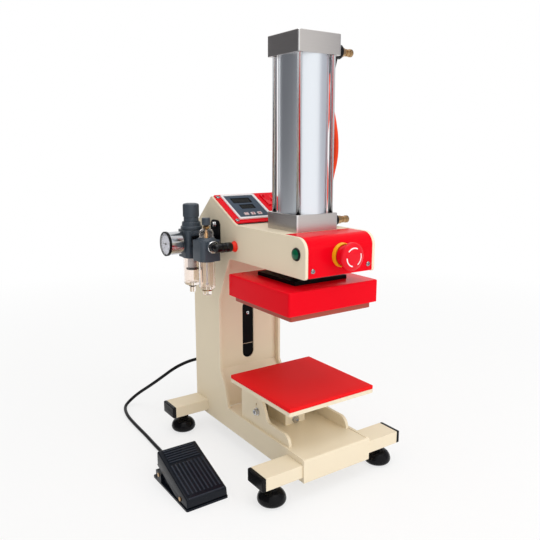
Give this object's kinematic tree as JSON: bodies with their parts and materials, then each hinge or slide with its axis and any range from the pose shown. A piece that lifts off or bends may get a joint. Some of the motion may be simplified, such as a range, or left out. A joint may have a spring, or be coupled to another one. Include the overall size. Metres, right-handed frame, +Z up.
{
  "type": "pneumatic heat press",
  "caption": "Bench heat press: an air cylinder on a C-shaped stand lowers a heated plate onto a padded table, with a controller, air unit and cable foot pedal.",
  "frame": {"origin": "centre of the rubber pad's top face, under the ram", "axes": "+Z up along the ram, +X to the right seen from the front, +Y towards the back of the stand; the front, with the stop button, faces -Y"},
  "size_m": [0.3542, 0.4905, 0.6635],
  "materials": {
    "cream_paint": "semi-gloss powder coat",
    "red_paint": "gloss powder coat",
    "black_paint": "matt",
    "black_plastic": "matt",
    "black_rubber": "matt",
    "cable_rubber": "matt",
    "red_rubber": "matt silicone",
    "cap_aluminium": "satin anodised",
    "barrel_aluminium": "bright drawn",
    "plate_aluminium": "cast",
    "steel": "machined",
    "chrome": "polished",
    "brass": "turned",
    "slate_plastic": "satin",
    "clear_plastic": "clear",
    "white_plastic": "satin",
    "face_plastic": "satin",
    "key_rubber": "satin",
    "red_plastic": "gloss",
    "yellow_plastic": "gloss",
    "green_plastic": "gloss",
    "hose_plastic": "satin"
  },
  "bodies": {
    "stand": {"side_plate_left": "cream_paint", "side_plate_right": "cream_paint", "base_cover": "cream_paint", "column_front_panel": "cream_paint", "column_back_panel": "cream_paint", "slot_plate": "black_paint", "arm_top_plate": "cream_paint", "crossbars": "cream_paint", "crossbar_caps": "black_plastic", "feet": "black_rubber", "head_cover": "red_paint", "casing_screws": "steel", "control_plate": "red_paint", "controller_frame": "white_plastic", "controller_face": "face_plastic", "rocker_bezel": "red_plastic", "stop_collar": "yellow_plastic", "start_bezel": "black_plastic", "cylinder_lower_cap": "cap_aluminium", "cylinder_barrel": "barrel_aluminium", "cylinder_upper_cap": "cap_aluminium", "tie_rods": "chrome", "speed_valves": "black_plastic", "air_tube_upper": "hose_plastic", "air_tube_lower": "hose_plastic", "press_pad": "red_rubber", "table_plate": "cream_paint", "table_cradle": "cream_paint", "clamp_bolts": "steel", "air_bracket": "black_paint", "regulator_body": "slate_plastic", "filter_bowl": "clear_plastic", "gauge_case": "steel", "lubricator_body": "slate_plastic", "lubricator_bowl": "clear_plastic", "outlet_elbow": "black_plastic", "pedal_base": "black_plastic", "pedal_pins": "brass", "pedal_spring": "steel", "pedal_cable": "cable_rubber", "cable_gland": "black_plastic", "mains_inlet": "black_plastic"},
    "press_head": {"piston": "plate_aluminium", "piston_rod": "chrome", "press_flange": "black_paint", "heater_cover": "red_paint", "heating_plate": "plate_aluminium"},
    "stop_stem_body": {"stop_stem": "steel"},
    "stop_mushroom_body": {"stop_mushroom": "red_plastic"},
    "start_button_body": {"start_button": "green_plastic"},
    "key_left_body": {"key_left": "key_rubber"},
    "key_middle_body": {"key_middle": "key_rubber"},
    "key_right_body": {"key_right": "key_rubber"},
    "rocker_body": {"rocker_switch": "red_plastic"},
    "regulator_knob_body": {"regulator_knob": "slate_plastic"},
    "gauge_needle_body": {"gauge_needle": "black_plastic"},
    "lubricator_knob_body": {"lubricator_knob": "slate_plastic"},
    "speed_screw_lower_body": {"speed_screw_lower": "brass"},
    "speed_screw_upper_body": {"speed_screw_upper": "brass"},
    "treadle": {"pedal_treadle": "black_plastic"}
  },
  "joints": [
    {"name": "press_slide", "type": "slide", "parent": "stand", "child": "press_head", "axis": [0, 0, -1], "range_m": [0, 0.125]},
    {"name": "stop_push", "type": "slide", "parent": "stand", "child": "stop_stem_body", "axis": [0, 1, 0], "range_m": [0, 0.0045], "stiffness_N_per_m": 900, "springref_m": -0.003},
    {"name": "stop_twist", "type": "hinge", "parent": "stop_stem_body", "child": "stop_mushroom_body", "pos_m": [0, -0.11, 0.2165], "axis": [0, 1, 0], "range_deg": [0, 45], "stiffness_Nm_per_rad": 0.03, "springref_deg": -11.46},
    {"name": "start_press", "type": "slide", "parent": "stand", "child": "start_button_body", "axis": [1, 0, 0], "range_m": [0, 0.0025], "stiffness_N_per_m": 600, "springref_m": -0.002},
    {"name": "key_left_press", "type": "slide", "parent": "stand", "child": "key_left_body", "axis": [0, 0.4602, -0.8878], "range_m": [0, 0.0006], "stiffness_N_per_m": 600, "springref_m": -0.0005},
    {"name": "key_middle_press", "type": "slide", "parent": "stand", "child": "key_middle_body", "axis": [0, 0.4602, -0.8878], "range_m": [0, 0.0006], "stiffness_N_per_m": 600, "springref_m": -0.0005},
    {"name": "key_right_press", "type": "slide", "parent": "stand", "child": "key_right_body", "axis": [0, 0.4602, -0.8878], "range_m": [0, 0.0006], "stiffness_N_per_m": 600, "springref_m": -0.0005},
    {"name": "rocker_tilt", "type": "hinge", "parent": "stand", "child": "rocker_body", "pos_m": [0.0355, 0.1439, 0.27523], "axis": [-1, 0, 0], "range_deg": [0, 24]},
    {"name": "regulator_turn", "type": "hinge", "parent": "stand", "child": "regulator_knob_body", "pos_m": [-0.097, 0.178, 0.2535], "axis": [0, 0, 1], "continuous": true},
    {"name": "gauge_needle_turn", "type": "hinge", "parent": "stand", "child": "gauge_needle_body", "pos_m": [-0.144, 0.178, 0.2095], "axis": [1, 0, 0], "range_deg": [0, 270], "stiffness_Nm_per_rad": 0.0004, "springref_deg": -17.19},
    {"name": "lubricator_turn", "type": "hinge", "parent": "stand", "child": "lubricator_knob_body", "pos_m": [-0.097, 0.126, 0.2465], "axis": [0, 0, 1], "continuous": true},
    {"name": "speed_lower_turn", "type": "hinge", "parent": "stand", "child": "speed_screw_lower_body", "pos_m": [0.08, 0, 0.2525], "axis": [1, 0, 0], "continuous": true},
    {"name": "speed_upper_turn", "type": "hinge", "parent": "stand", "child": "speed_screw_upper_body", "pos_m": [0.08, 0, 0.5045], "axis": [1, 0, 0], "continuous": true},
    {"name": "pedal_press", "type": "hinge", "parent": "stand", "child": "treadle", "pos_m": [-0.185, -0.003, -0.1325], "axis": [-1, 0, 0], "range_deg": [0, 3], "stiffness_Nm_per_rad": 2, "springref_deg": -8.59, "deforming": ["pedal_spring"]}
  ]
}
